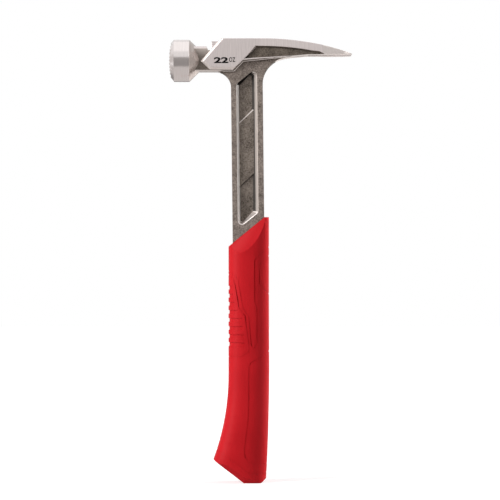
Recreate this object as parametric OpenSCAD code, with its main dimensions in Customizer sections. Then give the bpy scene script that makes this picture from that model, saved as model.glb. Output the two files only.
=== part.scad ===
// Framing hammer with a milled face and a rip claw.
// Head, shank and tang are one steel forging. A magnet sits in the nail set behind the face,
// and a stiff inner moulding and a soft outer one make the grip.
// -X is the striking face, +X the claw, Y the thickness, and Z runs up from the flat of the butt.

/* [Overall] */
// Height from the flat of the butt to the top of the head
overall_h = 381; // [360:1:400]
// Angle of the slanted ends of the collar and the shank's channels, in degrees
slant = 39.3; // [34:0.1:43]

/* [Striking face] */
// Diameter of the barrel
face_d = 36.4; // [33:0.2:37.4]
// Drop from the top of the head to the axis of the barrel
face_drop = 18.4; // [18:0.1:19.5]
// Distance from the centre line to the back of the barrel's straight part
barrel_back = 51; // [49:0.5:56]
// Length of the barrel's straight part
barrel_len = 13.2; // [9:0.2:18]
// Radius of the milled area
mill_r = 14.7; // [12:0.1:16]
// Length of the chamfer round the milled area
face_chamfer = 2.9; // [2:0.1:5]
// Rise of the crown in the middle of the face
crown_h = 1.5; // [0.5:0.1:2.5]
// Pitch of the milled teeth
tooth_pitch = 2.9; // [2.4:0.1:4]
// Height of the milled teeth
tooth_h = 1.2; // [0.6:0.1:1.6]

/* [Neck and nail set] */
// Thickness of the neck, side to side
neck_t = 20; // [18:0.5:22]
// Height of the neck
neck_h = 21.3; // [20.5:0.1:22]
// Drop from the top of the head to the top of the neck
neck_drop = 6.5; // [5.5:0.1:7.5]
// Chamfer along the upper edges of the neck
neck_chamfer = 1.9; // [1:0.1:3]
// Distance from the centre line to the front of the stop block
stop_reach = 31.8; // [30.5:0.1:33]
// Width of the stop block, side to side
stop_w = 16; // [12:0.5:18]
// Drop from the top of the head to the top of the stop block
stop_drop = 2.1; // [1:0.1:3]
// Length of the cross slot that takes the head of a nail
slot_len = 3.4; // [2.6:0.1:4]
// Depth of the cross slot below the top of the neck
slot_depth = 3.4; // [2.6:0.1:4.5]
// Width of the groove that takes the shank of a nail
groove_w = 5; // [4:0.1:6]
// Depth of that groove below the top of the neck
groove_depth = 1.1; // [0.6:0.1:2]
// Diameter of the magnet
magnet_d = 5.6; // [4:0.1:6]
// Length of the magnet
magnet_len = 4; // [3:0.1:5]
// Gap round the magnet, filled with adhesive
magnet_gap = 0.05; // [0.02:0.01:0.1]

/* [Cheeks] */
// Thickness of the head across the cheeks
cheek_t = 26; // [24:0.5:29]
// Distance from the centre line to the front corner of the cheeks
cheek_reach = 38.8; // [37:0.1:40]
// Height of the cheeks
cheek_h = 26.3; // [25.8:0.1:26.8]
// Width of the bevel along the front and lower edges of the cheeks
cheek_bevel = 1.8; // [1:0.1:2.4]
// Thickness of the ledge that runs under the cheeks
ledge_t = 20; // [18:0.5:22]
// Height of the step between the cheeks and the ledge's lower edge
ledge_step = 1.9; // [1.4:0.1:3.2]

/* [Claw] */
// Distance from the centre line to the tips
claw_reach = 88.5; // [84:0.5:94]
// Radius of the claw's curved top, seen from the side
claw_r = 242; // [235:1:260]
// Distance from the centre line to the start of that curve
claw_start = 10; // [6:0.5:13]
// Drop from the top of the head to the claw's underside
claw_drop = 13.8; // [13.4:0.1:15]
// Thickness of the claw at the tips
tip_t = 0.6; // [0.4:0.1:1.2]
// Width across the claw where it is widest
claw_w = 33; // [31:0.5:36]
// Width across the tips
tip_w = 29; // [26:0.5:31]
// Length of the nail slot
nail_slot_len = 54; // [48:0.5:56]
// Width of the nail slot at the tips
nail_slot_w = 9.5; // [8:0.1:11]
// Width of the nail slot at its inner end
nail_slot_end_w = 1.2; // [0.8:0.1:2]
// Depth of the countersink along the nail slot
nail_slot_sink = 3.4; // [2:0.1:4.5]
// Height of the ground band along the top of the claw
band_h = 6.6; // [6:0.1:7.2]
// Depth of the pocket under that band
pocket_depth = 2.5; // [1.5:0.1:3.5]
// Width of the sloping wall round the pocket
pocket_draft = 1.2; // [0.6:0.1:1.6]

/* [Shank and tang] */
// Width of the shank, front to back
shank_w = 27.3; // [26:0.1:29]
// Thickness of the shank across its flanges
shank_t = 14.8; // [14:0.2:17]
// How far the shank leans towards the face between the grip and the head
shank_lean = 1.6; // [0:0.1:2.5]
// Thickness of the web between the channels
web_t = 5.8; // [5:0.2:8]
// Width of the flanges
flange_w = 5.2; // [4.5:0.1:6]
// Width of the sloping walls of the channels
channel_draft = 1.9; // [1:0.1:2.4]
// Corner radius of the channels
channel_r = 3.1; // [2:0.1:4]
// Drop from the top of the head to the middle of the channels' upper end
channel_drop = 32.2; // [31:0.1:36]
// Height of the middle of the channels' lower end above the butt
channel_z = 225.4; // [224:0.2:230]
// Height of the raised panel in the channels
panel_h = 1.2; // [0.6:0.1:1.6]
// Length of the raised panel
panel_len = 56; // [50:0.5:60]
// Radius between the shank and the neck
front_fillet_r = 13.5; // [12:0.1:14.5]
// Radius between the shank and the claw
back_fillet_r = 22; // [20:0.5:24]
// Larger radius that runs out into the claw
runout_r = 94; // [85:1:100]
// Height of the shank's shoulder, where the tang starts
shoulder_z = 196; // [190:0.5:198]
// Width of the tang at the shoulder
tang_w = 20; // [17:0.5:21]
// Width of the tang at its lower end
tang_end_w = 15; // [12:0.5:17]
// Height of the tang's lower end
tang_z = 20; // [18:0.5:30]

/* [Grip] */
// Height of the grip's flat top behind the shank
grip_h = 228; // [226:0.5:232]
// Height of the front of the collar
collar_z = 202.7; // [201:0.1:205]
// Width of the grip, front to back
grip_w = 34.8; // [34:0.2:38]
// Thickness of the grip, side to side
grip_t = 29; // [28:0.2:32]
// Thickness of the collar's top edge
collar_t = 18; // [17:0.2:20]
// Width of the sloping facet on each side of the collar
facet_w = 12.3; // [10:0.1:14]
// How far the heel swells forward, measured down at the flat of the butt
heel_swell = 21.5; // [18:0.1:24]
// Height at which the heel starts to swell
heel_z = 95; // [85:1:105]
// How far the back of the grip draws in at the butt
back_draw = 2.8; // [1:0.1:4]
// Swell at the palm
palm_swell = 0.3; // [0:0.1:1.5]
// How much thicker each side is at the butt
butt_swell = 2; // [0:0.1:3]
// Distance from the centre line to the front edge of the flat of the butt
butt_front = 4.1; // [3:0.1:7]
// Angle of the slanted front of the butt, in degrees
butt_slant = 37.4; // [34:0.1:41]
// Bevel at the back edge of the butt
butt_bevel = 4.5; // [2:0.1:6]
// Bevel along both sides of the butt
butt_side_bevel = 5; // [3:0.1:6]
// Pitch of the finger ribs
rib_pitch = 6.92; // [6:0.02:8]
// Number of finger ribs
ribs = 9; // [6:1:9]
// Height of the uppermost rib
rib_z = 170.8; // [168:0.1:173]
// Width of the gaps between the ribs
rib_gap = 3.1; // [2:0.1:4]
// Width of the moulded grooves
line_w = 0.9; // [0.6:0.1:1.4]
// Depth of the grooves and of the gaps between the ribs
relief = 0.8; // [0.4:0.1:1.2]
// Width of the stiff core, front to back
core_w = 26; // [24:0.2:27]
// Thickness of the core, side to side
core_t = 20; // [18:0.2:21]
// Corner radius of the core
core_r = 6; // [4:0.2:8]
// Height of the core's lower end
core_z = 13; // [11:0.5:15]

/* [Hidden] */
overrun = overall_h / 300;
reach = overall_h / 2;

face_r = face_d / 2;
axis_z = overall_h - face_drop;
cone_end_share = 0.33;
barrel_front = barrel_back + barrel_len;
face_x = barrel_front + face_chamfer;
teeth = floor(mill_r / tooth_pitch);

neck_z = overall_h - neck_drop;
neck_floor_z = neck_z - neck_h;
slot_z = neck_z - slot_depth;
magnet_share = 0.53;
magnet_z = slot_z + magnet_share * (overall_h - stop_drop - slot_z);
groove_z = neck_z - groove_depth;

// Front and lower outline of the cheeks, as shares of their reach and height
cheek_shares = [[-0.56, 0], [-1, -0.741], [-0.817, -0.985], [-0.345, -1], [-0.125, -0.704]];
cheek_line = [for (p = cheek_shares) [p[0] * cheek_reach, overall_h + p[1] * cheek_h]];
// Lower outline of the ledge, in the same shares, from the neck to the claw
ledge_shares = [[-0.56, -1], [-0.315, -1], [-0.116, -0.684], [0.206, -0.638], [0.624, -0.57]];

tip_z = arc_z(claw_reach);
under_z = overall_h - claw_drop;
runout_angle = 15;
claw_angle = 1;
arc_steps = 10;
fillet_z = under_z - back_fillet_r * cos(runout_angle)
    - runout_r * (cos(claw_angle) - cos(runout_angle));
widest_share = 0.72;
tip_corner_share = 0.12;
widest_x = claw_reach * widest_share;
flare_angle = atan((claw_w - cheek_t) / 2 / (widest_x - claw_start));
slot_angle = atan((nail_slot_w - nail_slot_end_w) / 2 / nail_slot_len);

// Outer outline of the claw's side pocket: the straight lower edge, then the run-up to the band
pocket_left_share = -0.09;
pocket_top_share = 0.145;
pocket_end_shares = [[0.75, 1.06], [0.73, 0.98], [0.68, 0.82], [0.61, 0.72]];

channel_top = overall_h - channel_drop;
panel_z = (channel_top + channel_z - panel_len) / 2;

// Finger groove, hexagon, palm panel and butt groove, as shares of half the grip's width and
// of the grip's height
finger_shares = [[1.2, 0.901], [0.92, 0.882], [0.58, 0.864], [0.3, 0.838], [0.3, 0.682],
    [0.41, 0.66], [0.41, 0.526], [0.26, 0.506], [0.13, 0.52], [0.09, 0.561], [0.02, 0.625],
    [-0.22, 0.654], [-0.32, 0.68], [-0.39, 0.714], [-0.5, 0.763], [-0.62, 0.778], [-1.2, 0.808]];
ribbed_shares = [[-1.2, 0.795], [-0.75, 0.77], [-0.68, 0.752], [-0.47, 0.661], [-0.18, 0.629],
    [-0.05, 0.564], [0.05, 0.502], [-0.05, 0.491], [-0.37, 0.476], [-1.2, 0.474]];
hexagon_shares = [[1.2, 0.873], [0.92, 0.848], [0.67, 0.835], [0.52, 0.822], [0.52, 0.752],
    [0.78, 0.727], [1.2, 0.697]];
palm_shares = [[1.2, 0.518], [0.98, 0.493], [0.12, 0.453], [0.02, 0.44], [0.02, 0.309],
    [-0.02, 0.24], [-0.12, 0.175], [-0.2, 0.126], [-0.17, 0.1], [-0.02, 0.084], [0.22, 0.074],
    [0.37, 0.071], [1.2, 0.072]];
butt_shares = [[-1.8, 0.138], [-0.86, 0.091], [-0.37, 0.063], [-0.02, 0.042], [0.22, 0.037],
    [1.2, 0.039]];
// Where the rib gaps end, as shares of half the grip's width at shares of its height
rib_end_shares = [[0.474, -0.2], [0.5, -0.05], [0.564, -0.15], [0.629, -0.28], [0.661, -0.57],
    [0.752, -0.78]];

ring_sides = 36;
upper_rings = 5;
heel_rings = 13;
roundness = 0.8;
heel_power = 2.14;
back_power = 1.85;
swell_top_share = 1.5;

// Height of the claw's curved top at a distance x from the centre line
function arc_z(x) = overall_h - claw_r + sqrt(pow(claw_r, 2) - pow(max(0, x - claw_start), 2));
// Points on an arc from one angle to another
function arc(c, r, from, to, n) = [for (i = [0:n]) let (a = from + (to - from) * i / n)
    [c[0] + r * cos(a), c[1] + r * sin(a)]];
function unit(v) = v / norm(v);
// A closed outline moved inwards by d, for points that run anticlockwise
function inset(p, d) = let (n = len(p)) [for (i = [0:n - 1]) let (
    u = unit(p[i] - p[(i + n - 1) % n]), v = unit(p[(i + 1) % n] - p[i]),
    a = [-u[1], u[0]], b = [-v[1], v[0]]) p[i] + (a + b) * d / (1 + a * b)];
// A closed outline with its corners rounded
function rounded(p, r, n) = let (k = len(p)) [for (i = [0:k - 1]) let (
    u = unit(p[(i + k - 1) % k] - p[i]), v = unit(p[(i + 1) % k] - p[i]),
    half = acos(u * v) / 2, c = p[i] + unit(u + v) * r / sin(half),
    s = p[i] + u * r / tan(half) - c, e = p[i] + v * r / tan(half) - c,
    from = atan2(s[1], s[0]), turn = (atan2(e[1], e[0]) - from + 540) % 360 - 180)
    each arc(c, r, from, from + turn, n)];
// Both edges of a line of points, w apart
function ribbon(p, w) = let (n = len(p) - 1, side = [for (i = [0:n]) let (
    u = unit(p[max(i, 1)] - p[max(i, 1) - 1]), v = unit(p[min(i, n - 1) + 1] - p[min(i, n - 1)]),
    a = [-u[1], u[0]], b = [-v[1], v[0]]) (a + b) * w / 2 / (1 + a * b)])
    concat([for (i = [0:n]) p[i] + side[i]], [for (i = [n:-1:0]) p[i] - side[i]]);
function on_grip(shares) = [for (s = shares) [s[0] * grip_w / 2, s[1] * grip_h]];

// The centre line of the leaning shank at a height z
function shank_x(z) = -shank_lean * (z - shoulder_z) / (fillet_z - shoulder_z);

// The front and back edge of the grip at a height z
function heel(z) = heel_swell * pow(max(0, (heel_z - z) / heel_z), heel_power);
function palm(z) = palm_swell * (1 - cos(180 * min(1, max(0, swell_top_share - z / heel_z)
    / (swell_top_share - 1)))) / 2;
function grip_front(z) = -grip_w / 2 - heel(z);
function grip_back(z) = grip_w / 2 + palm(z) - back_draw * pow(max(0, (heel_z - z) / heel_z), back_power);
function grip_half(z) = grip_t / 2 + butt_swell * pow(max(0, (heel_z - z) / heel_z), back_power);
function swing(v) = sign(v) * pow(abs(v), roundness);
function grip_ring(z, d) = let (f = grip_front(z) + d, b = grip_back(z) - d, h = grip_half(z) - d)
    [for (i = [0:ring_sides - 1]) let (a = 360 * i / ring_sides)
        [(f + b) / 2 + (b - f) / 2 * swing(cos(a)), h * swing(sin(a)), z]];

// Extrudes a side outline across the thickness
module across(t) {
    rotate([90, 0, 0]) linear_extrude(height = t, center = true) children();
}

// Makes a shape on both sides of the hammer
module both_sides() {
    children();
    mirror([0, 1, 0]) children();
}

// A solid through two outlines with as many points each, for a pocket with sloping walls
module drafted(outer, inner, outer_y, inner_y) {
    n = len(outer);
    grow = overrun / (outer_y - inner_y);
    polyhedron(
        points = concat(
            [for (i = [0:n - 1]) let (p = outer[i] + (outer[i] - inner[i]) * grow)
                [p[0], -outer_y - overrun, p[1]]],
            [for (p = inner) [p[0], -inner_y, p[1]]]),
        faces = concat([[for (i = [n - 1:-1:0]) i]], [[for (i = [0:n - 1]) n + i]],
            [for (i = [0:n - 1]) [i, (i + 1) % n, n + i]],
            [for (i = [0:n - 1]) [n + i, (i + 1) % n, n + (i + 1) % n]]));
}

// A loft through closed rings that all have the same number of points
module loft(rings) {
    n = len(rings[0]);
    m = len(rings);
    polyhedron(
        points = [for (r = rings) each r],
        faces = concat([[for (i = [n - 1:-1:0]) i]], [[for (i = [0:n - 1]) (m - 1) * n + i]],
            [for (k = [0:m - 2], i = [0:n - 1]) [k * n + i, k * n + (i + 1) % n, (k + 1) * n + i]],
            [for (k = [0:m - 2], i = [0:n - 1])
                [(k + 1) * n + i, k * n + (i + 1) % n, (k + 1) * n + (i + 1) % n]]));
}

// The comb that leaves a row of crowned teeth, seen along the grooves
module tooth_comb() {
    tips = [for (i = [-teeth:teeth]) let (u = i * tooth_pitch,
        s = face_x + crown_h * (1 - pow(u / mill_r, 2)))
        each [[u - tooth_pitch / 2, s - tooth_h], [u, s]]];
    last = (teeth + 1 / 2) * tooth_pitch;
    polygon(concat(tips, [[last, tips[0][1]], [face_r + overrun, tips[0][1] - overrun],
        [face_r + overrun, 0], [-face_r - overrun, 0], [-face_r - overrun, tips[0][1] - overrun]]));
}

module barrel() {
    cone_r = neck_t * cone_end_share;
    translate([0, 0, axis_z]) rotate([0, -90, 0]) intersection() {
        rotate_extrude($fn = 96) polygon([[0, barrel_back - face_r + cone_r],
            [cone_r, barrel_back - face_r + cone_r], [face_r, barrel_back], [face_r, barrel_front],
            [mill_r, face_x], [mill_r, face_x + crown_h + overrun], [0, face_x + crown_h + overrun]]);
        rotate([90, 0, 0]) linear_extrude(height = 3 * face_r, center = true) tooth_comb();
        rotate([90, 0, 90]) linear_extrude(height = 3 * face_r, center = true) tooth_comb();
    }
}

// The neck between barrel and cheeks, cut down behind the cross slot
module neck() {
    end_x = cheek_line[0][0];
    c = neck_chamfer;
    h = neck_t / 2;
    intersection() {
        across(neck_t + overrun) polygon([[-barrel_back, neck_floor_z], [end_x, neck_floor_z],
            [end_x, slot_z], [-stop_reach - slot_len, slot_z], [-stop_reach - slot_len, slot_z + c / 2],
            [-stop_reach - slot_len - c / 2, neck_z], [-barrel_back, neck_z]]);
        rotate([90, 0, -90]) linear_extrude(height = barrel_back + overrun)
            polygon([[-h + c, neck_floor_z], [h - c, neck_floor_z], [h, neck_floor_z + c / 2],
                [h, neck_z - c], [h - c, neck_z], [-h + c, neck_z], [-h, neck_z - c],
                [-h, neck_floor_z + c / 2]]);
    }
}

module stop_block() {
    top_z = overall_h - stop_drop;
    back_x = cheek_line[0][0];
    across(stop_w) polygon([[-stop_reach, slot_z - stop_drop], [back_x + stop_w / 4, slot_z - stop_drop],
        [back_x + stop_w / 4, overall_h], [back_x - stop_drop / 2, overall_h],
        [back_x - 2 * stop_drop, top_z], [-stop_reach, top_z]]);
}

// The groove along the top of the barrel and neck, with a rounded floor
module nail_groove() {
    r = groove_w / 2;
    translate([-stop_reach, 0, 0]) rotate([90, 0, -90]) linear_extrude(height = barrel_back)
        polygon(concat(arc([0, groove_z + r], r, 180, 360, 12),
            [[r, overall_h + overrun], [-r, overall_h + overrun]]));
}

// Cheeks and claw seen from above
module plan() {
    h = cheek_t / 2;
    w = claw_w / 2;
    t = tip_w / 2;
    c = tip_w * tip_corner_share;
    half = [[claw_start, h], [widest_x, w], [claw_reach - 2 * c, t + (w - t) / 4],
        [claw_reach - c / 2, t - c / 2], [claw_reach, t - 3 / 2 * c]];
    polygon(concat([[-cheek_reach - overrun, -h]], [for (p = half) [p[0], -p[1]]],
        [for (i = [len(half) - 1:-1:0]) half[i]], [[-cheek_reach - overrun, h]]));
}

// Cheeks and claw seen from the side
module head_side() {
    top = [for (i = [0:12]) let (x = claw_reach + (claw_start - claw_reach) * i / 12) [x, arc_z(x)]];
    polygon(concat(cheek_line, [back_curve()[0], [claw_reach, tip_z - tip_t]], top));
}

// A wedge along one edge of the cheeks that leaves a bevel
module edge_bevel(p, q) {
    h = cheek_t / 2;
    b = cheek_bevel;
    d = q - p;
    translate([p[0], 0, p[1]]) rotate([0, -atan2(d[1], d[0]), 0]) rotate([90, 0, 90])
        translate([0, 0, -b]) linear_extrude(height = norm(d) + 2 * b)
            polygon([[-h - overrun, b + overrun], [-h - overrun, -overrun], [-h + b + overrun, -overrun]]);
}

// The two edges of the nail slot, opened out towards the top of the claw
module nail_slot() {
    apex_x = claw_reach - nail_slot_len;
    a = nail_slot_end_w / 2;
    b = nail_slot_w - a;
    translate([apex_x, 0, 0]) linear_extrude(height = overall_h + overrun)
        polygon([[0, -a], [2 * nail_slot_len, -b], [2 * nail_slot_len, b], [0, a]]);
    fall = atan((arc_z(apex_x) - tip_z) / nail_slot_len);
    translate([apex_x, 0, arc_z(apex_x) - nail_slot_sink]) rotate([0, fall, 0])
        intersection_for(s = [-1, 1]) rotate([0, 0, s * slot_angle]) rotate([s * slant, 0, 0])
            translate([-nail_slot_sink, s < 0 ? -reach / 2 : -a, 0])
                cube([nail_slot_len + 4 * nail_slot_sink, reach / 2 + a, reach / 6]);
}

// The recess in the side of the claw, under the ground band
module claw_pocket() {
    left = [pocket_left_share * cheek_reach, cheek_line[4][1] + pocket_draft];
    top_x = pocket_top_share * cheek_reach;
    end = [for (p = pocket_end_shares) [p[0] * claw_reach, overall_h - p[1] * claw_drop]];
    under = [end[0][0], under_z - claw_drop / 8];
    low = [back_curve()[0][0], under_z - overrun / 2];
    band = [for (i = [0:6]) let (x = end[3][0] + (top_x - end[3][0]) * i / 6) [x, arc_z(x) - band_h]];
    outer = concat([left, low, under], [for (i = [1:2]) end[i]], band);
    shift = concat([[1, 1 / 2], [0, 0], [-1, 0]], [for (i = [1:2]) [-1, -1]],
        [for (i = [0:5]) [0, -1]], [[1 / 2, -1]]);
    inner = [for (i = [0:len(outer) - 1]) outer[i] + shift[i] * pocket_draft];
    translate([claw_start, -cheek_t / 2, 0]) rotate([0, 0, -flare_angle])
        translate([-claw_start, cheek_t / 2, 0])
            drafted(outer, inner, cheek_t / 2, cheek_t / 2 - pocket_depth);
}

// The curve from the claw's underside to the back of the shank
function back_curve() = let (
    c = [shank_x(fillet_z) + shank_w / 2 + back_fillet_r, fillet_z],
    p = c + back_fillet_r * [-sin(runout_angle), cos(runout_angle)],
    d = p + runout_r * [sin(runout_angle), -cos(runout_angle)])
    concat(arc(d, runout_r, 90 + claw_angle, 90 + runout_angle, 5),
        arc(c, back_fillet_r, 90 + runout_angle, 180, arc_steps));

module shank() {
    front_x = shank_x(fillet_z) - shank_w / 2;
    front = arc([front_x - front_fillet_r, neck_floor_z - front_fillet_r], front_fillet_r, 0, 90, arc_steps);
    across(shank_t) polygon(concat([[shank_x(shoulder_z) - shank_w / 2, shoulder_z]],
        [[shank_x(shoulder_z) + shank_w / 2, shoulder_z]],
        [for (i = [len(back_curve()) - 1:-1:0]) back_curve()[i]],
        [[front[len(front) - 1][0], under_z], [front[len(front) - 1][0], neck_floor_z]],
        [for (i = [len(front) - 2:-1:0]) front[i]]));
}

// The stepped ledge under the cheeks
module ledge() {
    low = [for (p = ledge_shares) [p[0] * cheek_reach, overall_h + p[1] * cheek_h - ledge_step]];
    across(ledge_t) polygon(concat([[-cheek_reach, neck_floor_z + neck_chamfer / 2]],
        [[low[0][0] - 2 * ledge_step, neck_floor_z + neck_chamfer / 2]], low,
        [[back_curve()[4][0], back_curve()[4][1]], [back_curve()[4][0], under_z + claw_drop / 2],
        [-cheek_reach, slot_z - neck_chamfer]]));
}

// Corners of a channel or panel whose slanted ends pass the shank's centre line at two heights
function channel_outline(low, high, d) = let (a = shank_w / 2 - flange_w - d, rise = a * tan(slant))
    [[shank_x(low) - a, low - rise], [shank_x(low) + a, low + rise],
        [shank_x(high) + a, high + rise], [shank_x(high) - a, high - rise]];

module channel() {
    outer = channel_outline(channel_z, channel_top, 0);
    inner = inset(outer, channel_draft);
    difference() {
        drafted(rounded(outer, channel_r, 4), rounded(inner, channel_r / 2, 4), shank_t / 2, web_t / 2);
        across(web_t + 2 * panel_h)
            polygon(channel_outline(panel_z, panel_z + panel_len, -channel_draft));
    }
}

module tang() {
    across(web_t) polygon([[-tang_end_w / 2, tang_z], [tang_end_w / 2, tang_z],
        [tang_w / 2, shoulder_z + overrun], [-tang_w / 2, shoulder_z + overrun]]);
}

module steel_forging() {
    color("silver") difference() {
        union() {
            barrel();
            neck();
            stop_block();
            difference() {
                intersection() {
                    across(claw_w + overrun) head_side();
                    linear_extrude(height = overall_h + overrun) plan();
                }
                both_sides() {
                    for (i = [0:2]) edge_bevel(cheek_line[i], cheek_line[i + 1]);
                    claw_pocket();
                }
                nail_slot();
            }
            ledge();
            shank();
            tang();
        }
        nail_groove();
        both_sides() channel();
        translate([-stop_reach - overrun, 0, magnet_z]) rotate([0, 90, 0])
            cylinder(h = magnet_len + overrun, d = magnet_d + 2 * magnet_gap, $fn = 48);
    }
}

module nail_set_magnet() {
    color("gainsboro") translate([-stop_reach, 0, magnet_z]) rotate([0, 90, 0])
        cylinder(h = magnet_len, d = magnet_d, $fn = 48);
}

// The core's outline, from above
module core_plan() {
    polygon(rounded([[-core_w / 2, -core_t / 2], [core_w / 2, -core_t / 2],
        [core_w / 2, core_t / 2], [-core_w / 2, core_t / 2]], core_r, 4));
}

module grip_core() {
    color("dimgray") difference() {
        translate([0, 0, core_z]) linear_extrude(height = shoulder_z - core_z) core_plan();
        tang();
    }
}

// The grip's plain form, d inside its surface
module grip_form(d) {
    top = heel_z * swell_top_share;
    loft(concat([grip_ring(grip_h + overrun, d)],
        [for (i = [0:upper_rings]) grip_ring(top + (heel_z - top) * i / upper_rings, d)],
        [for (i = [1:heel_rings]) grip_ring(heel_z - (heel_z + overrun) * i / heel_rings, d)]));
}

// The moulded lines and the gaps between the ribs, seen from the side
module relief_plan() {
    for (shares = [finger_shares, ribbed_shares, hexagon_shares, palm_shares, butt_shares])
        polygon(ribbon(on_grip(shares), line_w));
    for (i = [0:ribs - 2]) {
        z = rib_z - (i + 1 / 2) * rib_pitch;
        end_x = lookup(z / grip_h, rib_end_shares) * grip_w / 2;
        translate([-grip_w, z - rib_gap / 2]) square([grip_w + end_x - 2 * line_w, rib_gap]);
    }
}

// Cuts the slanted top, the flat top and the facet on each side of the collar
module collar_cuts() {
    translate([-grip_w / 2, 0, collar_z]) rotate([0, -slant, 0]) {
        translate([-reach / 2, -reach / 2, 0]) cube([2 * reach, reach, reach]);
        both_sides() translate([0, -collar_t / 2, 0])
            rotate([-atan((grip_t - collar_t) / 2 / facet_w), 0, 0])
                translate([-reach / 2, -reach, -reach]) cube([2 * reach, reach, 2 * reach]);
    }
    translate([-reach, -reach / 2, grip_h]) cube([2 * reach, reach, reach]);
}

// Everything below one face of the butt, with a bevel along both sides
module butt_cut() {
    translate([-reach, -reach / 2, -reach]) cube([2 * reach, reach, reach]);
    both_sides() translate([0, -grip_half(0), butt_side_bevel]) rotate([-45, 0, 0])
        translate([-reach, -reach, -reach]) cube([2 * reach, 2 * reach, reach]);
}

// Cuts the flat of the butt, its slanted front and its bevelled back edge
module butt_cuts() {
    butt_cut();
    translate([-butt_front, 0, 0]) rotate([0, butt_slant, 0]) butt_cut();
    translate([grip_back(0) - butt_bevel, 0, 0]) rotate([0, -slant, 0])
        translate([-reach, -reach / 2, -reach]) cube([2 * reach, reach, reach]);
}

module grip_cover() {
    color("crimson") difference() {
        grip_form(0);
        difference() {
            across(2 * grip_w) relief_plan();
            grip_form(relief);
        }
        collar_cuts();
        butt_cuts();
        translate([0, 0, core_z]) linear_extrude(height = shoulder_z - core_z) core_plan();
        shank();
    }
}

steel_forging();
nail_set_magnet();
grip_core();
grip_cover();
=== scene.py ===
import math

import bmesh
import bpy
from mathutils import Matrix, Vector
from mathutils.bvhtree import BVHTree


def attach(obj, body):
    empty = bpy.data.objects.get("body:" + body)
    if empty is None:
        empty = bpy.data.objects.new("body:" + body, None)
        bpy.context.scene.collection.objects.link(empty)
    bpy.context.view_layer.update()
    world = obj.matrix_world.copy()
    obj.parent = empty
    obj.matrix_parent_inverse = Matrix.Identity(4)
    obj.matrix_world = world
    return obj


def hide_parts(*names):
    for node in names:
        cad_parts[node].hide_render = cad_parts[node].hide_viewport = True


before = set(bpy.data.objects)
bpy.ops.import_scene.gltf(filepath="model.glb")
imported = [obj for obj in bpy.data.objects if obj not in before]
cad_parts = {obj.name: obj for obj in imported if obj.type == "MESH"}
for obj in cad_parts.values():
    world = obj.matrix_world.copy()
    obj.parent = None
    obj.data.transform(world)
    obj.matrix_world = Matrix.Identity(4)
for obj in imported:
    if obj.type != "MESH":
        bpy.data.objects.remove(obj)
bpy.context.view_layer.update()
millimetre = 0.001
print("framing hammer: CAD frame loaded")


def sRgb(code):  # hex value as a person reads it, turned to the linear colour the shader wants
    values = [int(code[i:i + 2], 16) / 255 for i in (1, 3, 5)]
    return [v / 12.92 if v <= 0.04045 else ((v + 0.055) / 1.055) ** 2.4 for v in values] + [1]


def setInputs(tree, node, values):  # by name or number: a socket is linked, a value is set
    for key, value in values.items():
        if isinstance(value, bpy.types.NodeSocket):
            tree.links.new(value, node.inputs[key])
        else:
            node.inputs[key].default_value = value


def addNode(tree, kind, settings=None, inputs=None):
    node = tree.nodes.new(kind)
    for name, value in (settings or {}).items():
        setattr(node, name, value)
    setInputs(tree, node, inputs or {})
    return node


def newMaterial(name):
    material = bpy.data.materials.new(name)
    material.use_nodes = True
    tree = material.node_tree
    shader = next(n for n in tree.nodes if n.type == "BSDF_PRINCIPLED")
    place = addNode(tree, "ShaderNodeTexCoord").outputs["Object"]
    return material, tree, shader, place


def colourRamp(tree, factor, stops):  # from the first of two stops to the second one
    ramp = addNode(tree, "ShaderNodeValToRGB", {}, {"Fac": factor})
    for stop, (position, code) in zip(ramp.color_ramp.elements, stops):
        stop.position = position
        stop.color = sRgb(code)
    return ramp.outputs["Color"]


def noise(tree, place, size, detail, roughness=0.5):  # size of its grain in millimetres
    return addNode(tree, "ShaderNodeTexNoise", {},
                   {"Vector": place, "Scale": 1 / (size * millimetre), "Detail": detail,
                    "Roughness": roughness}).outputs["Fac"]


def bump(tree, height, strength, depth):  # depth in millimetres
    return addNode(tree, "ShaderNodeBump", {},
                   {"Strength": strength, "Distance": depth * millimetre,
                    "Height": height}).outputs["Normal"]


def spread(tree, value, low, high, start=0.0, end=1.0):  # from start to end, onto low to high
    return addNode(tree, "ShaderNodeMapRange", {},
                   {"Value": value, "From Min": start, "From Max": end,
                    "To Min": low, "To Max": high}).outputs["Result"]


# Where the photo was taken from, and how much it shows at the middle plane, in millimetres
photo = {"width": 430.5, "distance": 2000, "x": 1.1, "z": 199.8, "sensor": 36, "clip": 20000}

lens = bpy.data.cameras.new("photoCamera")
lens.sensor_width = photo["sensor"]
lens.lens = photo["sensor"] * photo["distance"] / photo["width"]
lens.clip_end = photo["clip"] * millimetre
photoCamera = bpy.data.objects.new("photoCamera", lens)
bpy.context.scene.collection.objects.link(photoCamera)
photoCamera.location = Vector((photo["x"], -photo["distance"], photo["z"])) * millimetre
photoCamera.rotation_euler = (math.pi / 2, 0, 0)
bpy.context.scene.camera = photoCamera
bpy.context.scene.view_settings.view_transform = "Standard"
print("camera placed")


def groundSteel(name, grain, stops, roughness, depth):
    # Carbon steel, belt ground: bright, with fine straight scratches that blur what it reflects
    material, tree, shader, place = newMaterial(name)
    stretch = [1 / (g * millimetre) for g in grain]  # scratch width and length, from real sizes
    lay = addNode(tree, "ShaderNodeMapping", {}, {"Vector": place, "Scale": stretch})
    streaks = addNode(tree, "ShaderNodeTexNoise", {},
                      {"Vector": lay.outputs["Vector"], "Scale": 1, "Detail": 3,
                       "Roughness": 0.6}).outputs["Fac"]
    setInputs(tree, shader,
              {"Base Color": colourRamp(tree, streaks, stops), "Metallic": 1,
               "Roughness": spread(tree, streaks, roughness + 0.06, roughness - 0.05, 0.3, 0.7),
               "Normal": bump(tree, streaks, 0.25, depth)})
    return material


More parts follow.
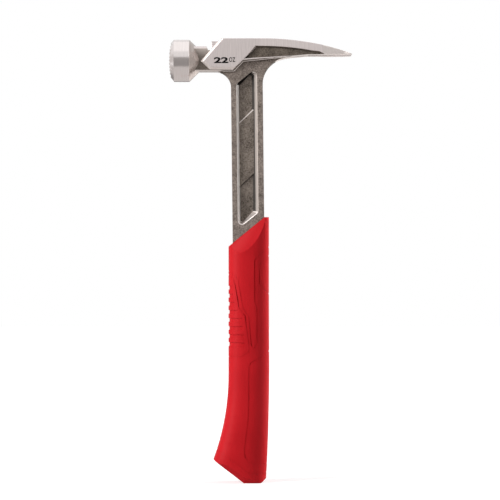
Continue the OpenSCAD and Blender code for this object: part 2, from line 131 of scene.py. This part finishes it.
def paintedShadingBlend(tree, place, colour, paintedShading):
    # Painted light and shade: brighter from one distance off the middle plane, or one height, to
    # the other
    parts = addNode(tree, "ShaderNodeSeparateXYZ", {}, {"Vector": place})
    reach = addNode(tree, "ShaderNodeMath", {"operation": "ABSOLUTE"},
                    {0: parts.outputs[paintedShading["axis"]]})
    mask = addNode(tree, "ShaderNodeMapRange", {"interpolation_type": "SMOOTHSTEP"},
                   {"Value": reach.outputs["Value"], "From Min": paintedShading["from"] * millimetre,
                    "From Max": paintedShading["to"] * millimetre})
    blend = addNode(tree, "ShaderNodeMix", {"data_type": "RGBA"},
                    {0: mask.outputs["Result"], 6: colour, 7: sRgb(paintedShading["colour"])})
    return blend.outputs[2]


def blastedSteel(name, stops, roughness, paintedShading=None, metallic=1):
    # Carbon steel, shot blasted after forging: dull, dark and speckled by the pits of the shot
    material, tree, shader, place = newMaterial(name)
    pits = noise(tree, place, 1.1, 4, 0.8)
    patches = noise(tree, place, 7, 2)
    both = addNode(tree, "ShaderNodeMath", {"operation": "MULTIPLY_ADD"},
                   {0: patches, 1: 0.3, 2: pits})
    colour = colourRamp(tree, both.outputs["Value"], stops)
    if paintedShading:
        colour = paintedShadingBlend(tree, place, colour, paintedShading)
    setInputs(tree, shader, {"Base Color": colour, "Metallic": metallic, "Roughness": roughness,
                             "Normal": bump(tree, pits, 0.5, 0.12)})
    return material


cheekSteel = groundSteel("groundCheekSteel", (0.45, 0.45, 18),
                         [(0.3, "#C2B9B7"), (0.7, "#D8CFCD")], 0.52, 0.04)
barrelSteel = groundSteel("turnedBarrelSteel", (0.35, 16, 16),
                          [(0.3, "#D6CECC"), (0.7, "#E2DAD8")], 0.2, 0.01)
coneSteel = groundSteel("turnedConeSteel", (0.8, 10, 10),
                        [(0.3, "#A69C97"), (0.7, "#BAB0AB")], 0.3, 0.02)
# Ground edges, and also the painted highlight on roundings and on faces turned up towards the light
edgeAndHighlightSteel = groundSteel("groundEdgeAndPaintedHighlight", (0.5, 0.5, 9),
                        [(0.3, "#D2C9C5"), (0.7, "#E2DAD6")], 0.45, 0.01)
shankSteel = blastedSteel("blastedShankSteel", [(0.45, "#443D37"), (0.8, "#A3978F")], 0.6)
# Painted shade: the channel's floor is a little darker than the flanges
webPaintedShadeSteel = blastedSteel("blastedWebPaintedShade", [(0.45, "#3B352F"), (0.8, "#958A81")], 0.6)
# Painted light: the neck's sides turn lighter towards the top
neckPaintedLightSteel = blastedSteel("blastedNeckPaintedLight", [(0.4, "#4A433D"), (0.85, "#8A8078")], 0.6,
                         {"axis": "Z", "from": 363, "to": 374, "colour": "#B4AAA4"})
# Painted shade: the pocket, the ledge and other recesses are darker than the shank
recessPaintedShadeSteel = blastedSteel("blastedRecessPaintedShade", [(0.45, "#2D2823"), (0.8, "#796F66")], 0.62)
# Painted shading on the channel's walls: painted shade at the foot and painted light towards the
# flange, paler on the wall turned from the lamp than on the far wall, which faces it
wallPaintedShadingSteel = blastedSteel("blastedWallPaintedShading", [(0.4, "#16130F"), (0.85, "#332D28")], 0.6,
                         {"axis": "Y", "from": 3.3, "to": 4.1, "colour": "#F2EBE6"}, 0)
farWallPaintedShadingSteel = blastedSteel("blastedFarWallPaintedShading", [(0.4, "#16130F"), (0.85, "#332D28")], 0.6,
                            {"axis": "Y", "from": 4.7, "to": 5.7, "colour": "#968D87"}, 0.35)
# Painted shade: the rounded rim of the channel's far wall, which faces the lamp, is darker than the
# other roundings
rimPaintedShadeSteel = blastedSteel("blastedRimPaintedShade", [(0.4, "#857D77"), (0.85, "#A69D97")], 0.6)
# Painted shadow on the walls that face down or lie in a corner, lightest at the foot
shadowSteel = blastedSteel("blastedPaintedShadowSteel", [(0.4, "#0E0C0B"), (0.85, "#221F1D")], 0.75,
                           {"axis": "Y", "from": 4.4, "to": 3.4, "colour": "#5A524B"})


def mouldedRubber(name, stops):
    # Thermoplastic rubber, injection moulded: matte and even, with the fine texture of an
    # etched mould, and a little smoother in broad patches
    material, tree, shader, place = newMaterial(name)
    cloud = noise(tree, place, 30, 2)
    etch = noise(tree, place, 0.5, 3, 0.6)
    setInputs(tree, shader, {"Base Color": colourRamp(tree, cloud, stops),
                             "Roughness": spread(tree, cloud, 0.52, 0.44, 0.3, 0.7),
                             "IOR": 1.5, "Specular IOR Level": 0.05,
                             "Normal": bump(tree, etch, 0.15, 0.05)})
    return material


def plainMaterial(name, stops, metallic, roughness, grain, depth, specular=0.5):
    material, tree, shader, place = newMaterial(name)
    haze = noise(tree, place, grain, 3)
    setInputs(tree, shader, {"Base Color": colourRamp(tree, haze, stops), "Metallic": metallic,
                             "Roughness": spread(tree, haze, roughness - 0.05, roughness + 0.05),
                             "Specular IOR Level": specular,
                             "Normal": bump(tree, haze, 0.3, depth)})
    return material


gripRubber = mouldedRubber("mouldedRedRubber", [(0.3, "#B2181F"), (0.7, "#BC1C23")])
# Nickel, plated on a sintered magnet: a bright, slightly warm and blurred mirror
magnetNickel = plainMaterial("platedNickel", [(0.3, "#C2BFB9"), (0.7, "#D0CEC9")],
                             1, 0.2, 1.5, 0.01)
# Glass-filled nylon, injection moulded: black and half matte, with a fine grain
coreNylon = plainMaterial("mouldedBlackNylon", [(0.3, "#171718"), (0.7, "#202021")],
                          0, 0.5, 0.6, 0.03)
# Ink, pad printed on the ground cheek: flat black, with hardly any gloss
markInk = plainMaterial("printedBlackInk", [(0.3, "#060505"), (0.7, "#0B0A0A")],
                        0, 0.6, 0.4, 0.005, 0.1)
print("materials made")

cad = {"weld": 0.002, "flat": 0.6}  # millimetres between doubles, degrees between flat faces


def cadCopy(node):  # the node's loose triangles as one welded mesh, flat faces made whole
    bm = bmesh.new()
    bm.from_mesh(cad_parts[node].data)
    bmesh.ops.remove_doubles(bm, verts=bm.verts, dist=cad["weld"] * millimetre)
    bmesh.ops.dissolve_limit(bm, angle_limit=math.radians(cad["flat"]), verts=bm.verts,
                             edges=bm.edges, delimit={"MATERIAL"})
    return bm


def roundEdges(bm, edges, width, segments, material=-1):
    return bmesh.ops.bevel(bm, geom=edges, offset=width * millimetre, offset_type="OFFSET",
                           affect="EDGES", segments=segments, profile=0.5, material=material,
                           clamp_overlap=False, loop_slide=True)


def finishPiece(bm, name, materials, body, replaced, crease, bends=(), weighted=True):
    for face in bm.faces:
        face.smooth = True
    for edge in bm.edges:
        edge.smooth = edge.calc_face_angle(0) < math.radians(crease)
    for edge in bends:
        edge.smooth = False
    mesh = bpy.data.meshes.new(name)
    bm.to_mesh(mesh)
    bm.free()
    piece = bpy.data.objects.new(name, mesh)
    bpy.context.scene.collection.objects.link(piece)
    for material in materials:
        mesh.materials.append(material)
    if weighted:
        piece.modifiers.new("weightedNormals", "WEIGHTED_NORMAL").keep_sharp = True
    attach(piece, body)
    if replaced:
        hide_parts(replaced)
    return piece


def evaluatedMesh(source):  # what a source becomes with its modifiers or lettering; it is removed
    bpy.context.view_layer.update()
    made = bpy.data.meshes.new_from_object(
        source.evaluated_get(bpy.context.evaluated_depsgraph_get()))
    bpy.data.objects.remove(source)
    return made


def within(value, span):
    return span[0] < value < span[1]


# Millimetres, and degrees for angles. X runs along the head, a side is a distance from the
# middle plane, Z is a height
forging = {"edge": 0.35, "channelEdge": 0.5, "panelEdge": 0.7, "ledgeEdge": 0.6, "sharpFrom": 28,
           "roundFrom": -63, "shortest": 1.3, "shortestOnClaw": 3.5, "narrowest": 0.9,
           "flange": 7.4, "web": 2.9, "panel": 4.1, "ledge": 10, "near": 0.05,
           "channelX": (-12, 12), "channelZ": (219, 355), "ledgeX": (-26, 34),
           "ledgeZ": (350, 365.2), "slotX": 48, "slotSide": 5.5, "clawFrom": 45,
           # the channel's wall nearest the claw leans out by this much more at its foot
           "wallLean": 2.3, "wallDepth": (0.1, 4.6),
           # the cheek's sloping front moves out: a point on it, its slope, and what moves with it
           "cheekOut": 2.4, "frontX": -38.8, "frontZ": 361.51, "frontSlope": 0.8758,
           "frontAbove": 361.3, "frontBefore": -19, "frontSides": (8.1, 13.1),
           "frontBand": (-0.1, 2.7), "onFront": 0.1, "bevelSide": 12.9,
           # corners of the cheek's lower edge, and the X and Z that each goes to
           "lowerEdge": (((-30.99, 13, 356.88), (-32.6, 356.4)),
                         ((-31.7, 11.2, 355.09), (-33.3, 354.2)),
                         ((-31.7, 10, 355.09), (-34.1, 355)),
                         ((-13.39, 11.2, 354.7), (-13.39, 353.9))),
           "foldFoot": (-32.8, 10, 371.1), "foldTop": (-24.13, 11.2, 381),
           "clawRoot": (33.05, 14.5, 365.45), "rootLift": 0.27, "sliver": 0.13,
           # the bends that stay crisp, between faces of more than so many square millimetres
           "crease": 32, "large": 3, "clawBend": 6, "headBend": 11, "headZ": 352, "headX": -40,
           "linkedBend": 3}
# Where one finish, painted shade or painted light ends and the next one begins
zoneAt = {"barrelX": -50.5, "coneRimX": -49, "coneX": -39, "neckX": -25, "neckSideX": -24,
          "blockX": -20, "pocketX": -6, "bevelX": 5, "undersideX": 22, "slotX": 55, "tipX": 64,
          "slotSide": 5, "channelSide": 7.3, "slotEdgeSide": 9, "neckSide": 9.8,
          "pocketSide": 9.9, "bevelSide": 11.3, "cheekSide": 12.7,
          "recessZ": 350, "bevelZ": 352, "neckZ": 352.5, "cheekZ": 353, "pocketZ": 356,
          "topZ": 365, "blockZ": 372.5}
(cheekZone, barrelZone, coneZone, edgeAndHighlightZone, shankZone, webPaintedShadeZone, neckPaintedLightZone, recessPaintedShadeZone, wallPaintedShadingZone,
 farWallPaintedShadingZone, rimPaintedShadeZone, shadowZone) = range(12)
steels = [cheekSteel, barrelSteel, coneSteel, edgeAndHighlightSteel, shankSteel, webPaintedShadeSteel, neckPaintedLightSteel,
          recessPaintedShadeSteel, wallPaintedShadingSteel, farWallPaintedShadingSteel, rimPaintedShadeSteel, shadowSteel]


def inChannel(place):
    return within(place.x, forging["channelX"]) and within(place.z, forging["channelZ"])


# A number beside a face's normal says how far the face turns that way: 1 is squarely
def channelZone(normal):
    if abs(normal.y) > 0.98:
        return webPaintedShadeZone
    if normal.z < -0.3 and normal.x > 0.2:
        return shadowZone  # the upper end wall faces down, away from the light
    # painted highlight: the lower end wall faces up, towards the light
    if normal.z > 0.3:
        return edgeAndHighlightZone
    # the side walls take their painted shading
    return wallPaintedShadingZone if normal.x > 0 else farWallPaintedShadingZone


def forgingZone(face):
    centre = face.calc_center_median() / millimetre
    x, side, z = centre.x, abs(centre.y), centre.z
    normal = face.normal
    if x < zoneAt["barrelX"]:
        return barrelZone
    if x < zoneAt["coneX"] and (normal.x > 0.35 or x < zoneAt["coneRimX"]):
        return coneZone
    if x > zoneAt["tipX"] or (x > zoneAt["slotX"] and side < zoneAt["slotEdgeSide"]):
        return cheekZone if side < zoneAt["slotSide"] else edgeAndHighlightZone  # nail slot, claw's tips
    if z > zoneAt["cheekZ"] and side > zoneAt["cheekSide"] and abs(normal.y) > 0.93:
        return cheekZone
    if z > zoneAt["bevelZ"] and side > zoneAt["bevelSide"] and x < zoneAt["bevelX"]:
        return edgeAndHighlightZone  # bevels of the cheeks
    if z > zoneAt["topZ"] and normal.z > 0.6:
        return cheekZone
    if (z > zoneAt["pocketZ"] and x > zoneAt["pocketX"] and side > zoneAt["pocketSide"]
            and abs(normal.y) < 0.93):
        if normal.x > 0.35 and normal.z < 0.5:
            return shadowZone  # the pocket's front wall, in painted shadow
        # faces turned up get a painted highlight, the others painted shade
        return edgeAndHighlightZone if normal.z > 0.5 else recessPaintedShadeZone
    if x > zoneAt["undersideX"] and normal.z < -0.4 and abs(normal.y) < 0.3:
        return edgeAndHighlightZone  # underside of the claw, ground bright
    if x < zoneAt["neckX"] and z > zoneAt["neckZ"] and abs(normal.z) > 0.5:
        return edgeAndHighlightZone  # top, chamfers and underside of the neck
    if z > zoneAt["blockZ"] and x < zoneAt["blockX"]:
        return cheekZone  # stop block
    if x < zoneAt["neckSideX"] and z > zoneAt["neckZ"] and side > zoneAt["neckSide"]:
        return neckPaintedLightZone
    if inChannel(centre) and side < zoneAt["channelSide"]:
        return channelZone(normal)
    if z > zoneAt["recessZ"] and (side > zoneAt["pocketSide"] or abs(normal.y) < 0.5):
        return recessPaintedShadeZone
    return shankZone


def sharpEdges(bm, test):
    return [e for e in bm.edges if e.is_manifold and e.is_convex
            and e.calc_face_angle(0) > math.radians(forging["sharpFrom"])
            and all(test(v.co / millimetre) for v in e.verts)]


def atSide(place, distance):  # on the plane that far from the middle one, to either side
    return abs(abs(place.y) - distance) < forging["near"]


def onChannel(place):
    return inChannel(place) and atSide(place, forging["flange"])


def onPanel(place):
    return inChannel(place) and atSide(place, forging["panel"])


def onLedge(place):
    return (within(place.x, forging["ledgeX"]) and within(place.z, forging["ledgeZ"])
            and atSide(place, forging["ledge"]))


def onFront(place):  # on the cheek's sloping front, or where its bevels end in the cheek
    side = abs(place.y)
    behind = place.x - (forging["frontX"]
                        + (place.z - forging["frontZ"]) * forging["frontSlope"])
    return (place.z > forging["frontAbove"] and place.x < forging["frontBefore"]
            and within(side, forging["frontSides"]) and within(behind, forging["frontBand"])
            and (behind < forging["onFront"] or side > forging["bevelSide"]))


def nearest(bm, place, side):  # the corner nearest a place, on the side of the photo or the far one
    x, y, z = place
    return min(bm.verts, key=lambda v: (v.co / millimetre - Vector((x, y * side, z))).length)


def inSlot(edge):  # the nail slot keeps its ground corners
    return all(v.co.x > forging["slotX"] * millimetre
               and abs(v.co.y) < forging["slotSide"] * millimetre for v in edge.verts)


def worthRounding(edge, done):
    onClaw = edge.verts[0].co.x >= forging["clawFrom"] * millimetre
    length = edge.calc_length()
    return (length > forging["shortestOnClaw" if onClaw else "shortest"] * millimetre
            and min(f.calc_area() for f in edge.link_faces)
            > forging["narrowest"] * millimetre * length
            and not any(f in done for f in edge.link_faces) and not inSlot(edge))


bm = cadCopy("steel_forging")
for v in bm.verts:
    place = v.co / millimetre
    depth = forging["flange"] - abs(place.y)
    if inChannel(place) and place.x > 0 and within(depth, forging["wallDepth"]):
        v.co.x -= (forging["wallLean"] * millimetre * depth
                   / (forging["flange"] - forging["web"]))
    if onFront(place):
        v.co.x -= forging["cheekOut"] * millimetre
for old, new in forging["lowerEdge"]:
    for v in bm.verts:
        place = v.co / millimetre
        if math.dist((place.x, abs(place.y), place.z), old) < forging["near"]:
            v.co.x, v.co.z = [n * millimetre for n in new]
for side in (-1, 1):  # a fold beside the stop block, where the moved front meets it
    fold = [nearest(bm, forging[end], side) for end in ("foldFoot", "foldTop")]
    bmesh.ops.connect_vert_pair(bm, verts=fold)
bm.normal_update()
for face in bm.faces:
    face.material_index = forgingZone(face)
# The roundings of the channel, panel and ledge get a painted highlight; those turned down get
# painted shadow, and those on the channel's side walls the walls' painted shading
for test, width, segments in ((onChannel, "channelEdge", 3), (onPanel, "panelEdge", 2),
                              (onLedge, "ledgeEdge", 2)):
    made = roundEdges(bm, sharpEdges(bm, test), forging[width], segments, edgeAndHighlightZone)["faces"]
    for face in made:
        normal = face.normal
        if normal.z < -0.12 and normal.x > 0.08 and test != onLedge:
            face.material_index = shadowZone
        elif abs(normal.x) > 0.15 and normal.z < 0.3 and test == onChannel:
            face.material_index = rimPaintedShadeZone if normal.x < 0 else wallPaintedShadingZone
# Faces in the channel whose edges need no further rounding
done = {f for f in bm.faces if f.material_index in (edgeAndHighlightZone, rimPaintedShadeZone, wallPaintedShadingZone, shadowZone)
        and inChannel(f.calc_center_median() / millimetre)}
rest = [e for e in sharpEdges(bm, lambda place: place.x > forging["roundFrom"])
        if worthRounding(e, done)]
roundEdges(bm, rest, forging["edge"], 2)
for side in (-1, 1):  # the rounding crosses itself at the claw's root
    nearest(bm, forging["clawRoot"], side).co.z += forging["rootLift"] * millimetre
bmesh.ops.dissolve_degenerate(bm, dist=forging["sliver"] * millimetre,
                              edges=[e for e in bm.edges if
                                     e.verts[0].co.x > -forging["clawFrom"] * millimetre])
bends = set()  # edges of large faces that stay crisp, though they bend less than a crease
for e in bm.edges:
    place = (e.verts[0].co + e.verts[1].co) / 2 / millimetre
    limit = 180  # more than any edge bends
    if place.x > forging["clawFrom"]:
        limit = forging["clawBend"]
    elif place.z > forging["headZ"] and place.x > forging["headX"]:
        limit = forging["headBend"]
    if math.degrees(e.calc_face_angle(0)) > limit and all(
            f.calc_area() > forging["large"] * millimetre ** 2 for f in e.link_faces):
        bends.add(e)
        bends.update(other for v in e.verts for other in v.link_edges
                     if other.calc_face_angle(0) > math.radians(forging["linkedBend"]))
finishPiece(bm, "hammerForging", steels, "root", "steel_forging",
            forging["crease"], bends)
print("forging made")

# Millimetres, and degrees for the crease. The weld and the boldness, which is the third number
# of a word, are for letters one unit high: they are made that high and then fitted to the mark
mark = {"y": -13.02, "lift": 0.05, "crease": 30, "weld": 1e-5, "curveSteps": 6,
        "words": (("markWeight", "22", 0.04, (-29.8, -17.4), (359.7, 364.8)),
                  ("markUnit", "oz", 0, (-16.8, -11.6), (360.7, 364.7)))}


def printedMark(name, words, boldness, across, up):
    curve = bpy.data.curves.new(name, "FONT")
    curve.body = words
    curve.offset = boldness
    curve.resolution_u = mark["curveSteps"]
    text = bpy.data.objects.new(name, curve)
    bpy.context.scene.collection.objects.link(text)
    bm = bmesh.new()
    bm.from_mesh(evaluatedMesh(text))
    bmesh.ops.remove_doubles(bm, verts=bm.verts, dist=mark["weld"])
    xs = [v.co.x for v in bm.verts]
    ys = [v.co.y for v in bm.verts]
    (left, right), (low, high) = across, up
    for v, x, y in zip(bm.verts, xs, ys):
        along = (x - min(xs)) / (max(xs) - min(xs))
        above = (y - min(ys)) / (max(ys) - min(ys))
        v.co = Vector((left + (right - left) * along, mark["y"],
                       low + (high - low) * above)) * millimetre
    plate = bmesh.ops.extrude_face_region(bm, geom=bm.faces[:])["geom"]
    bmesh.ops.translate(bm, verts=[g for g in plate if isinstance(g, bmesh.types.BMVert)],
                        vec=(0, -mark["lift"] * millimetre, 0))
    bmesh.ops.recalc_face_normals(bm, faces=bm.faces)
    finishPiece(bm, name, [markInk], "root", None, mark["crease"])


for settings in mark["words"]:
    printedMark(*settings)
print("weight mark made")

# Millimetres, and degrees for angles. The fill is a part of the groove's depth, and hollow is
# half the size of the room for the core
grip = {"grooveDepth": 2.2, "grooveCorner": 25, "fill": 0.65, "hollow": (14, 9),
        "ribEdge": 0.4, "ribCorner": 50, "ribLength": 1.5, "crease": 32, "sliver": 0.002,
        "voxel": 1.1, "softenPasses": 24, "facet": 12, "inside": 4, "tiny": 0.001,
        # the line that the gaps between the ribs stay in front of: heights and places
        "ribEnds": ((112, -1.6), (145.3, -5.2), (152.7, -10), (173.7, -13.8))}


def angled(edge, convex, angle):
    return (edge.is_manifold and edge.is_convex == convex
            and edge.calc_face_angle(0) > math.radians(angle))


def softGuide(bm, voxel, passes):
    # A softened copy of the mesh: where it points, the moulding's round surface points
    mesh = bpy.data.meshes.new("guide")
    bm.to_mesh(mesh)
    guide = bpy.data.objects.new("guide", mesh)
    bpy.context.scene.collection.objects.link(guide)
    cubes = guide.modifiers.new("cubes", "REMESH")
    cubes.mode = "VOXEL"
    cubes.voxel_size = voxel * millimetre
    soften = guide.modifiers.new("soften", "SMOOTH")
    soften.factor = 0.5
    soften.iterations = passes
    soft = evaluatedMesh(guide)
    tree = BVHTree.FromPolygons([v.co for v in soft.vertices],
                                [p.vertices for p in soft.polygons])

    def normalAt(place):
        near, index = tree.find_nearest(place)[::2]
        total = Vector()
        for v in soft.polygons[index].vertices:
            distance = (soft.vertices[v].co - near).length
            total += soft.vertices[v].normal / (distance + grip["tiny"] * millimetre)
        return total.normalized()

    return normalAt


def followGuide(piece, normalAt):
    # Corners take the soft guide's direction, read a little inside their face in height, so that
    # the edge of the collar stays crisp
    mesh = piece.data
    normals = [n.vector.copy() for n in mesh.corner_normals]
    inside = grip["inside"] * millimetre
    for face in mesh.polygons:
        middle = mesh.attributes["middle"].data[face.index].value
        for loop in face.loop_indices:
            place = mesh.vertices[mesh.loops[loop].vertex_index].co
            lift = max(-inside, min(inside, middle - place.z))
            wanted = normalAt(place + Vector((0, 0, lift)))
            if wanted.angle(face.normal) < math.radians(grip["facet"]):
                normals[loop] = wanted
    mesh.attributes.remove(mesh.attributes["middle"])
    mesh.normals_split_custom_set(normals)


def atCorner(v, convex):  # the top corners of a groove are convex, the bottom ones are not
    return any(angled(e, convex, grip["grooveCorner"]) for e in v.link_edges)


def grooveRim(v):
    # The top corner above a groove's bottom corner, on the same wall
    place = v.co / millimetre
    inHollow = abs(place.x) < grip["hollow"][0] and abs(place.y) < grip["hollow"][1]
    if inHollow or not atCorner(v, False):
        return None
    tops = [top for f in v.link_faces for top in f.verts
            if (top.co - v.co).length < grip["grooveDepth"] * millimetre
            and atCorner(top, True) and not atCorner(top, False)]
    return min(tops, key=lambda top: (top.co - v.co).length).co.copy() if tops else None


def onRibs(place):
    for (low, start), (high, end) in zip(grip["ribEnds"], grip["ribEnds"][1:]):
        if low <= place.z <= high:
            return place.x < start + (end - start) * (place.z - low) / (high - low)
    return False


bm = cadCopy("grip_cover")
moves = {}  # each bottom corner of a groove: where it is cut, eased and closed
for v in bm.verts:  # the moulded lines are shallower to the eye than their cut in the solid
    rim = grooveRim(v)
    if rim:
        fill = 0 if onRibs(v.co / millimetre) else grip["fill"]
        moves[v] = {"cut": v.co.copy(), "eased": v.co.lerp(rim, fill), "closed": rim}


def moveGrooves(state):
    for v in moves:
        v.co = moves[v][state]


moveGrooves("closed")
normalAt = softGuide(bm, grip["voxel"], grip["softenPasses"])
moveGrooves("cut")
ribEdges = [e for e in bm.edges
            if angled(e, True, grip["ribCorner"])
            and e.calc_length() > grip["ribLength"] * millimetre
            and all(onRibs(v.co / millimetre) and v not in moves for v in e.verts)]
print("rib edges:", len(ribEdges))
roundEdges(bm, ribEdges, grip["ribEdge"], 2)
middle = bm.faces.layers.float.new("middle")
for face in bm.faces:
    heights = [v.co.z for v in face.verts]
    face[middle] = (min(heights) + max(heights)) / 2
bmesh.ops.triangulate(bm, faces=[f for f in bm.faces if any(v in moves for v in f.verts)])
moveGrooves("eased")
bmesh.ops.dissolve_degenerate(bm, dist=grip["sliver"] * millimetre, edges=bm.edges)
print("grooves eased:", len(moves))
gripPiece = finishPiece(bm, "hammerGripCover", [gripRubber], "root", "grip_cover",
                        grip["crease"], weighted=False)
followGuide(gripPiece, normalAt)
for node, material in (("grip_core", coreNylon), ("nail_set_magnet", magnetNickel)):
    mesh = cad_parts[node].data
    mesh.materials.clear()
    mesh.materials.append(material)
print("grip made")


def stagePlane(name, corners, material):
    mesh = bpy.data.meshes.new(name)
    bm = bmesh.new()
    bm.faces.new([bm.verts.new(Vector(c)) for c in corners])
    bm.to_mesh(mesh)
    bm.free()
    plane = bpy.data.objects.new(name, mesh)
    bpy.context.scene.collection.objects.link(plane)
    mesh.materials.append(material)
    return plane


def backgroundRays(tree):
    # White paper and white studio walls: the camera and the steel see them white, but they
    # light the object no more than plain room light does
    rays = addNode(tree, "ShaderNodeLightPath")
    seen = addNode(tree, "ShaderNodeMath", {"operation": "MAXIMUM"},
                   {0: rays.outputs["Is Camera Ray"], 1: rays.outputs["Is Glossy Ray"]})
    return seen.outputs["Value"]


# The stage is in metres. The floor's glow grows with the distance from the object
floor = {"half": 4, "paper": "#C4C4C4", "glow": (0.6, 1.0), "distance": (0.15, 1.2)}
floorPaper, tree, shader, place = newMaterial("whitePaper")
away = addNode(tree, "ShaderNodeVectorMath", {"operation": "LENGTH"}, {"Vector": place})
level = spread(tree, away.outputs["Value"], *floor["glow"], *floor["distance"])
glow = addNode(tree, "ShaderNodeMath", {"operation": "MULTIPLY"},
               {0: backgroundRays(tree), 1: level})
setInputs(tree, shader, {"Base Color": sRgb(floor["paper"]), "Roughness": 0.9,
                         "Specular IOR Level": 0, "Emission Color": (1, 1, 1, 1),
                         "Emission Strength": glow.outputs["Value"]})
stagePlane("floor", [(x * floor["half"], y * floor["half"], 0)
                     for x, y in ((-1, -1), (1, -1), (1, 1), (-1, 1))], floorPaper)

# Grey studio cards round the object that only the steel's reflections see: name, brightness,
# and the box that the card fills from one corner to the other. A box with no height lies flat
cards = (("cardFront", 0.38, (-2.2, -2.2, 0), (2.2, -2.2, 1)),
         ("cardBack", 0.38, (-2.2, 2.2, 0.45), (2.2, 2.2, 1)),
         ("cardLeft", 0.7, (-2.2, -2.2, 0.3), (-2.2, 2.2, 1)),
         ("cardRight", 0.8, (2.2, -2.2, 0.3), (2.2, 2.2, 1)),
         ("cardLow", 0.36, (-2.2, -2.2, 0.01), (2.2, -0.52, 0.01)),
         ("cardLowBack", 0.3, (-2.2, 0.6, 0.01), (2.2, 2.2, 0.01)),
         ("cardUnder", 0.72, (-2.2, -0.52, 0.01), (2.2, 0.6, 0.01)),
         ("cardUnderClaw", 1.6, (0.12, -0.2, 0.02), (1.2, 1.2, 0.02)))
for name, brightness, (x0, y0, z0), (x1, y1, z1) in cards:
    greyCard, tree, shader, place = newMaterial(name + "Grey")
    setInputs(tree, shader, {"Base Color": (0, 0, 0, 1), "Roughness": 1,
                             "Specular IOR Level": 0, "Emission Color": (1, 0.97, 0.95, 1),
                             "Emission Strength": brightness})
    if z0 == z1:
        corners = [(x0, y0, z0), (x1, y0, z0), (x1, y1, z0), (x0, y1, z0)]
    else:
        corners = [(x0, y0, z0), (x1, y1, z0), (x1, y1, z1), (x0, y0, z1)]
    card = stagePlane(name, corners, greyCard)
    card.visible_camera = card.visible_diffuse = card.visible_shadow = False


def areaLight(name, place, target, size, power):  # size in metres, power in watts
    light = bpy.data.lights.new(name, "AREA")
    light.shape = "RECTANGLE"
    light.size, light.size_y = size
    light.energy = power
    lamp = bpy.data.objects.new(name, light)
    bpy.context.scene.collection.objects.link(lamp)
    lamp.location = place
    lamp.rotation_euler = (Vector(place) - Vector(target)).to_track_quat("Z", "Y").to_euler()
    return lamp


areaLight("keyLeft", (-1.7, -0.9, 0.9), (0, 0, 0.2), (0.7, 1.6), 54)
areaLight("top", (0, -0.1, 1.7), (0, 0, 0.3), (2.4, 2.0), 4)
rimLight = areaLight("rimRight", (1.5, 0.55, 0.5), (0, 0, 0.2), (0.5, 1.2), 36)
rimLight.visible_glossy = False  # it would turn the far cheek white, seen from behind
areaLight("fillRight", (0.6, -0.55, 0.75), (0, 0, 0.3), (0.3, 0.3), 1.2)

roomLight = 0.16  # the world's strength where neither the camera nor the steel looks at it
world = bpy.data.worlds.new("studio")
bpy.context.scene.world = world
world.use_nodes = True
tree = world.node_tree
setInputs(tree, tree.nodes["Background"],
          {"Strength": spread(tree, backgroundRays(tree), roomLight, 1.0),
           "Color": (1, 1, 1, 1)})
print("floor and light made")
